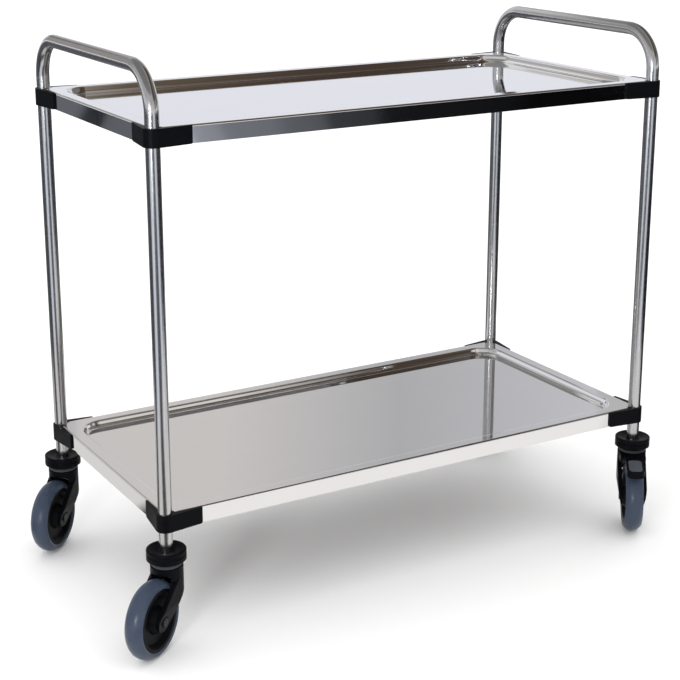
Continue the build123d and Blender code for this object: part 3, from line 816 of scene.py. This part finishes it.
class TROLLEY_OT_stage(bpy.types.Operator):
    """Sets up the floor, the soft light, the reflection cards and the camera"""

    bl_idname = "trolley.stage"
    bl_label = "Studio"

    def execute(self, context):
        settings = context.scene.trolley_stage
        self.make_floor(settings)
        self.make_sky(context.scene)
        self.make_lights(settings)
        self.make_cloths()
        self.make_flags()
        self.make_camera(context.scene, settings)
        context.scene.view_settings.view_transform = "Standard"
        return {"FINISHED"}

    def make_floor(self, settings):
        half_size = 60.0
        signs = ((-1, -1), (1, -1), (1, 1), (-1, 1))
        mesh = bpy.data.meshes.new("studio_floor")
        mesh.from_pydata([(x * half_size, y * half_size, 0.0) for x, y in signs], [], [(0, 1, 2, 3)])
        floor = bpy.data.objects.new("studio_floor", mesh)
        bpy.context.scene.collection.objects.link(floor)
        finish = Finish("studio_floor_paint", settings.floor_colour, metallic=0.0, roughness=0.9)
        finish.specular(level=0.0)
        mesh.materials.append(finish.material)

    def make_sky(self, scene):
        """A sky of blended shades, each placed at the sine of its angle above the horizon."""
        world = bpy.data.worlds.new("studio_sky")
        scene.world = world
        world.use_nodes = True
        tree = world.node_tree
        background = tree.nodes["Background"]
        coordinates = tree.nodes.new("ShaderNodeTexCoord")
        apart = tree.nodes.new("ShaderNodeSeparateXYZ")
        ramp = tree.nodes.new("ShaderNodeValToRGB")
        tree.links.new(coordinates.outputs["Generated"], apart.inputs["Vector"])
        tree.links.new(apart.outputs["Z"], ramp.inputs["Fac"])
        tree.links.new(ramp.outputs["Color"], background.inputs["Color"])
        steps = ramp.color_ramp.elements
        horizon, zenith = steps
        horizon.color = (1.0, 1.0, 1.0, 1.0)
        zenith.color = (0.28, 0.275, 0.27, 1.0)
        sky = (
            (0.08, (0.85, 0.86, 0.92)),
            (0.21, (0.85, 0.86, 0.92)),
            (0.27, (0.45, 0.455, 0.465)),
            (0.31, (0.49, 0.495, 0.505)),
            (0.41, (0.71, 0.68, 0.66)),
            (0.55, (0.70, 0.67, 0.64)),
            (0.59, (0.30, 0.295, 0.29)),
        )
        for place, colour in sky:
            step = steps.new(place)
            step.color = (*colour, 1.0)

    def make_lights(self, settings):
        sun = bpy.data.lights.new("broad_light", "SUN")
        sun.energy = settings.broad_light
        sun.angle = math.radians(120.0)
        broad = bpy.data.objects.new("broad_light", sun)
        bpy.context.scene.collection.objects.link(broad)
        broad.visible_glossy = False
        soft_box(
            "side_soft_box", middle=(-2.04, -1.77, 0.8), target=(-0.5, -0.25, 0.1),
            width=0.4, height=0.4, power=settings.key_light,
        )

    def make_cloths(self):
        """Dark and pale cloths on the floor for the posts and skirts to reflect."""
        middle, outer = 1.5, 14.0
        cool_tint, warm_tint = (0.95, 1.0, 1.12), (1.0, 0.975, 0.95)
        far = (
            (0, 0.08), (20, 0.12), (60, 0.14), (115.3, 0.15), (115.7, 0.03), (116.8, 0.015),
            (117, 0.14), (150, 0.08), (184, 0.08), (190, 1.0), (214, 1.0), (222, 0.10),
            (254, 0.08), (262, 1.0), (286.5, 1.0), (289, 0.32), (291, 0.20), (294.5, 0.13),
            (297, 0.05), (300, 0.01), (308, 0.003), (330, 0.004), (350, 0.05), (360, 0.08),
        )
        near = (
            (0, 0.9, 0.10), (60, 0.9, 0.12), (120, 0.9, 0.12), (126, 0.62, 0.80),
            (155, 0.62, 0.80), (159, 0.66, 0.10), (176, 0.7, 0.10), (183, 0.7, 1.0),
            (208, 0.7, 1.0), (216, 0.72, 0.10), (239, 0.72, 0.10), (245, 0.62, 1.03),
            (319, 0.62, 1.03), (325, 0.8, 0.05), (345, 0.85, 0.05), (360, 0.9, 0.10),
        )
        far_columns = [(degrees, middle, outer, shade) for degrees, shade in far]
        floor_cloth("far_cloth", far_columns, cool_tint)
        near_columns = [(degrees, inner, middle, shade) for degrees, inner, shade in near]
        floor_cloth("near_cloth", near_columns, warm_tint)

    def make_flags(self):
        """Dark flags and pale cards round the trolley for the shelves and handles to reflect."""
        brown, umber, dusk = (0.140, 0.106, 0.077), (0.073, 0.052, 0.039), (0.20, 0.19, 0.18)
        haze, veil, pale = (0.78, 0.75, 0.71), (0.45, 0.43, 0.41), (0.92, 0.92, 0.92)
        warm, plain, cool = (0.69, 0.66, 0.64), (0.50, 0.50, 0.51), (0.63, 0.63, 0.66)
        low_foot, flag_foot, flag_top = 1.05, 2.4, 4.8
        ceiling_depth, ceiling_height = 6.4, 5.6
        side = ((5.5, -2.8, dusk), (6.2, -1.0, dusk), (6.5, 1.0, dusk))
        front = (
            (0.6, -4.5, haze), (1.8, -4.3, brown), (2.8, -4.0, umber), (3.6, -3.7, umber),
            (4.3, -3.4, dusk), *side,
        )
        standing_card("front_flag", front, flag_foot, flag_top)
        reflection_strip("ceiling_flag", [
            ((x, y, flag_top), (x, y + ceiling_depth, ceiling_height), shade) for x, y, shade in front
        ])
        low = (
            (-0.6, -4.6, haze), (2.0, -4.3, haze), (2.8, -4.0, umber), (3.2, -3.8, umber),
            (4.3, -3.4, haze), *side,
        )
        standing_card("low_flag", low, low_foot, flag_foot)
        standing_card("rear_flag", ((-1.05, 3.0, dusk), (-0.10, 3.0, dusk)), foot=1.72, top=2.4)
        wall = ((2.4, 8.0, warm), (3.6, 8.0, warm), (5.25, 8.0, plain), (7.4, 8.0, cool))
        standing_card("back_wall", wall, foot=2.9, top=4.7)
        standing_card("left_veil", ((-1.8, 1.5, veil), (-0.6, 1.5, veil)), foot=0.95, top=2.3)
        standing_card("right_card", ((0.12, 0.8, pale), (0.70, 0.8, pale)), foot=1.05, top=1.6)

    def make_camera(self, scene, settings):
        data = bpy.data.cameras.new("photo_camera")
        data.sensor_width = 36.0
        data.lens = settings.lens
        data.shift_y = settings.shift
        data.clip_end = 200.0
        camera = bpy.data.objects.new("photo_camera", data)
        scene.collection.objects.link(camera)
        camera.location = settings.camera_place
        level = math.cos(settings.camera_pitch)
        forward = Vector((
            level * math.cos(settings.camera_yaw),
            level * math.sin(settings.camera_yaw),
            -math.sin(settings.camera_pitch),
        ))
        camera.rotation_mode = "QUATERNION"
        camera.rotation_quaternion = forward.to_track_quat("-Z", "Y")
        scene.camera = camera


operators = (
    TROLLEY_OT_end_frames,
    TROLLEY_OT_shelves,
    TROLLEY_OT_connectors,
    TROLLEY_OT_castors,
    TROLLEY_OT_wheels,
    TROLLEY_OT_brakes,
    TROLLEY_OT_stage,
)


class TROLLEY_PT_panel(bpy.types.Panel):
    """Lists the trolley's settings and steps"""

    bl_label = "Serving trolley"
    bl_idname = "TROLLEY_PT_panel"
    bl_space_type = "VIEW_3D"
    bl_region_type = "UI"
    bl_category = "Trolley"

    def draw(self, context):
        for name in groups:
            settings = getattr(context.scene, name)
            box = self.layout.box()
            box.label(text=name.replace("_", " ").capitalize())
            for key in settings.__annotations__:
                box.prop(settings, key)
        for step in operators:
            self.layout.operator(step.bl_idname)


classes = (*groups.values(), *operators, TROLLEY_PT_panel)


def register():
    for kind in classes:
        bpy.utils.register_class(kind)
    for name, group in groups.items():
        setattr(bpy.types.Scene, name, PointerProperty(type=group))


def unregister():
    for name in groups:
        delattr(bpy.types.Scene, name)
    for kind in reversed(classes):
        bpy.utils.unregister_class(kind)


def main():
    register()
    bpy.ops.trolley.end_frames()
    bpy.ops.trolley.shelves()
    bpy.ops.trolley.connectors()
    bpy.ops.trolley.castors()
    bpy.ops.trolley.wheels()
    bpy.ops.trolley.brakes()
    bpy.ops.trolley.stage()


if __name__ == "__main__":
    main()
